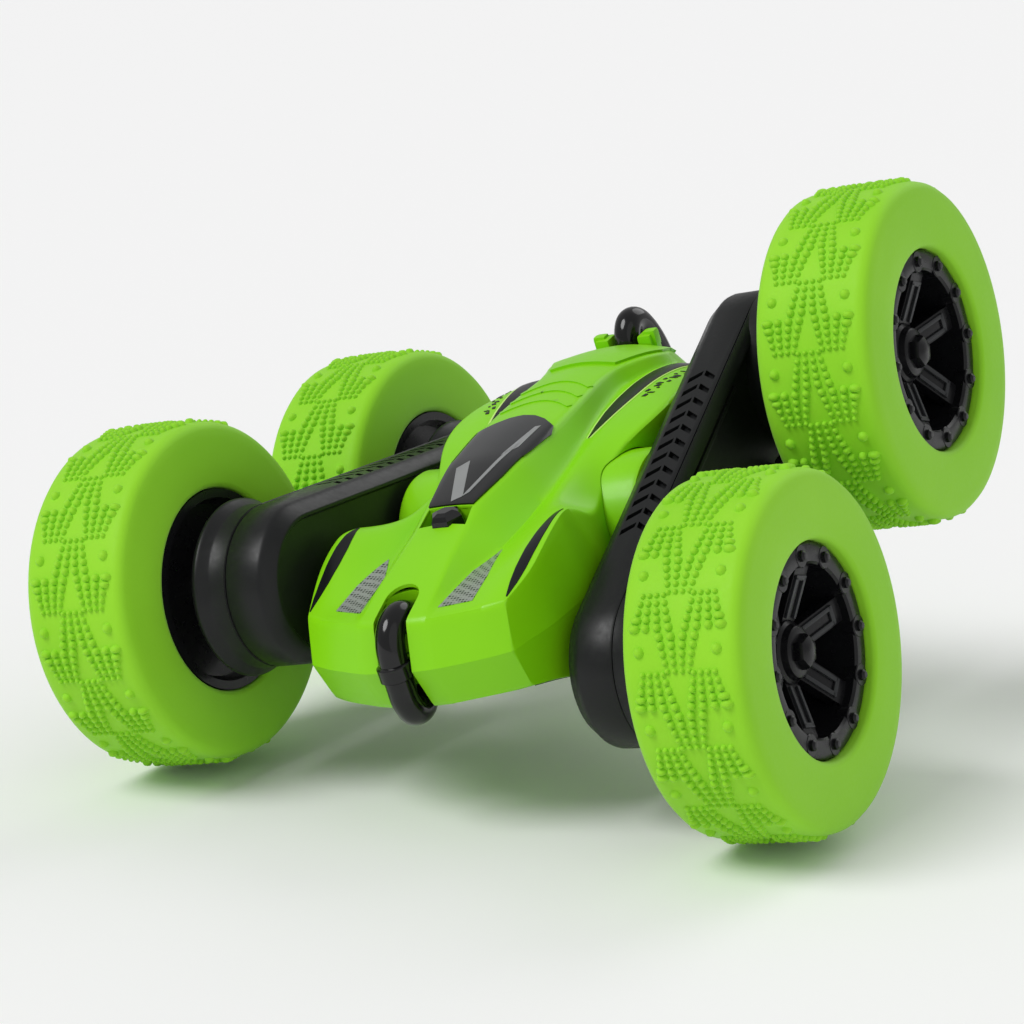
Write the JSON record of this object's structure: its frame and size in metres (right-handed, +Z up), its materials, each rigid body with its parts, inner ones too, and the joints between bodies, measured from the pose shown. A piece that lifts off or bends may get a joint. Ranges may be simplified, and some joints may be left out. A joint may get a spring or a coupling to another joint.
{
  "type": "rc stunt car",
  "caption": "Double-sided radio-controlled stunt car: flat lime body on a cross pivot between two swinging black arms with large studded wheels.",
  "frame": {"origin": "centre of the resting car on the floor, under the middle of its bounding box", "axes": "-Y to the nose, +X to the side of the raised wheel, +Z up from the floor"},
  "size_m": [0.1506, 0.1406, 0.1058],
  "materials": {
    "tyre_rubber": "soft matt rubber",
    "rim_black": "moulded, glossy",
    "bolt_black": "moulded, satin",
    "gear_nylon": "natural nylon",
    "steel": "machined",
    "arm_black": "moulded, satin",
    "body_lime": "moulded, semi-gloss",
    "canopy_smoke": "smoked, polished",
    "loop_black": "polished",
    "battery_wrap": "shrink wrap",
    "board": "solder mask",
    "switch_black": "moulded"
  },
  "bodies": {
    "chassis": {"battery": "battery_wrap", "battery_door": "body_lime", "circuit_board": "board", "front_left_shell_screw": "steel", "front_loop": "loop_black", "front_right_shell_screw": "steel", "left_pivot_boss": "body_lime", "lower_canopy": "canopy_smoke", "lower_hood_plug": "loop_black", "lower_shell": "body_lime", "rear_left_shell_screw": "steel", "rear_loop": "loop_black", "rear_right_shell_screw": "steel", "right_pivot_boss": "body_lime", "switch_housing": "switch_black", "upper_canopy": "canopy_smoke", "upper_hood_plug": "loop_black", "upper_shell": "body_lime"},
    "left_arm": {"left_arm_case": "arm_black", "left_arm_cover": "arm_black", "left_arm_front_screw": "steel", "left_arm_rear_screw": "steel", "left_motor": "steel", "left_pivot_clip": "steel"},
    "left_centre_gear": {"left_centre_gear": "gear_nylon"},
    "left_front_wheel": {"left_front_axle": "steel", "left_front_axle_gear": "gear_nylon", "left_front_rim": "rim_black", "left_front_tyre": "tyre_rubber", "left_front_wheel_bolt": "bolt_black"},
    "left_idler_gear": {"left_idler_gear": "gear_nylon"},
    "left_motor_gear": {"left_motor_gear": "gear_nylon"},
    "left_rear_wheel": {"left_rear_axle": "steel", "left_rear_axle_gear": "gear_nylon", "left_rear_rim": "rim_black", "left_rear_tyre": "tyre_rubber", "left_rear_wheel_bolt": "bolt_black"},
    "switch_slider": {"power_switch": "switch_black"},
    "right_arm": {"right_arm_case": "arm_black", "right_arm_cover": "arm_black", "right_arm_front_screw": "steel", "right_arm_rear_screw": "steel", "right_motor": "steel", "right_pivot_clip": "steel"},
    "right_centre_gear": {"right_centre_gear": "gear_nylon"},
    "right_front_wheel": {"right_front_axle": "steel", "right_front_axle_gear": "gear_nylon", "right_front_rim": "rim_black", "right_front_tyre": "tyre_rubber", "right_front_wheel_bolt": "bolt_black"},
    "right_idler_gear": {"right_idler_gear": "gear_nylon"},
    "right_motor_gear": {"right_motor_gear": "gear_nylon"},
    "right_rear_wheel": {"right_rear_axle": "steel", "right_rear_axle_gear": "gear_nylon", "right_rear_rim": "rim_black", "right_rear_tyre": "tyre_rubber", "right_rear_wheel_bolt": "bolt_black"}
  },
  "joints": [
    {"name": "left_arm_swing", "type": "hinge", "parent": "chassis", "child": "left_arm", "pos_m": [0, -0.0028, 0.04297], "axis": [0.9842, -0.0481, 0.1703], "continuous": true},
    {"name": "left_front_wheel_spin", "type": "hinge", "parent": "left_arm", "child": "left_front_wheel", "pos_m": [-0.05918, -0.03796, 0.03305], "axis": [0.9842, -0.0481, 0.1703], "continuous": true},
    {"name": "left_rear_wheel_spin", "type": "hinge", "parent": "left_arm", "child": "left_rear_wheel", "pos_m": [-0.05548, 0.03796, 0.03305], "axis": [0.9842, -0.0481, 0.1703], "continuous": true},
    {"name": "left_motor_gear_spin", "type": "hinge", "parent": "left_arm", "child": "left_motor_gear", "pos_m": [-0.02888, -0.02041, 0.03813], "axis": [0.9842, -0.0481, 0.1703], "continuous": true},
    {"name": "left_centre_gear_spin", "type": "hinge", "parent": "left_arm", "child": "left_centre_gear", "pos_m": [-0.02795, -0.00144, 0.03813], "axis": [0.9842, -0.0481, 0.1703], "continuous": true},
    {"name": "left_idler_gear_spin", "type": "hinge", "parent": "left_arm", "child": "left_idler_gear", "pos_m": [-0.02703, 0.01754, 0.03813], "axis": [0.9842, -0.0481, 0.1703], "continuous": true},
    {"name": "right_arm_swing", "type": "hinge", "parent": "chassis", "child": "right_arm", "pos_m": [0, -0.0028, 0.04297], "axis": [0.9842, -0.0481, 0.1703], "continuous": true},
    {"name": "right_front_wheel_spin", "type": "hinge", "parent": "right_arm", "child": "right_front_wheel", "pos_m": [0.05918, -0.03796, 0.03305], "axis": [0.9842, -0.0481, 0.1703], "continuous": true},
    {"name": "right_rear_wheel_spin", "type": "hinge", "parent": "right_arm", "child": "right_rear_wheel", "pos_m": [0.05548, 0.02676, 0.07273], "axis": [0.9842, -0.0481, 0.1703], "continuous": true},
    {"name": "right_motor_gear_spin", "type": "hinge", "parent": "right_arm", "child": "right_motor_gear", "pos_m": [0.02888, -0.02034, 0.03789], "axis": [0.9842, -0.0481, 0.1703], "continuous": true},
    {"name": "right_centre_gear_spin", "type": "hinge", "parent": "right_arm", "child": "right_centre_gear", "pos_m": [0.02795, -0.00417, 0.04781], "axis": [0.9842, -0.0481, 0.1703], "continuous": true},
    {"name": "right_idler_gear_spin", "type": "hinge", "parent": "right_arm", "child": "right_idler_gear", "pos_m": [0.02703, 0.01201, 0.05773], "axis": [0.9842, -0.0481, 0.1703], "continuous": true},
    {"name": "switch_slide", "type": "slide", "parent": "chassis", "child": "switch_slider", "axis": [0.0085, 0.9741, 0.226], "range_m": [0, 0.003]}
  ],
  "couplings": [
    {"joint": "left_motor_gear_spin", "follows": "left_front_wheel_spin", "ratio": -1.1111},
    {"joint": "left_centre_gear_spin", "follows": "left_front_wheel_spin", "ratio": 1},
    {"joint": "left_idler_gear_spin", "follows": "left_front_wheel_spin", "ratio": -1.1111},
    {"joint": "left_rear_wheel_spin", "follows": "left_front_wheel_spin", "ratio": 1},
    {"joint": "right_motor_gear_spin", "follows": "right_front_wheel_spin", "ratio": -1.1111},
    {"joint": "right_centre_gear_spin", "follows": "right_front_wheel_spin", "ratio": 1},
    {"joint": "right_idler_gear_spin", "follows": "right_front_wheel_spin", "ratio": -1.1111},
    {"joint": "right_rear_wheel_spin", "follows": "right_front_wheel_spin", "ratio": 1}
  ]
}
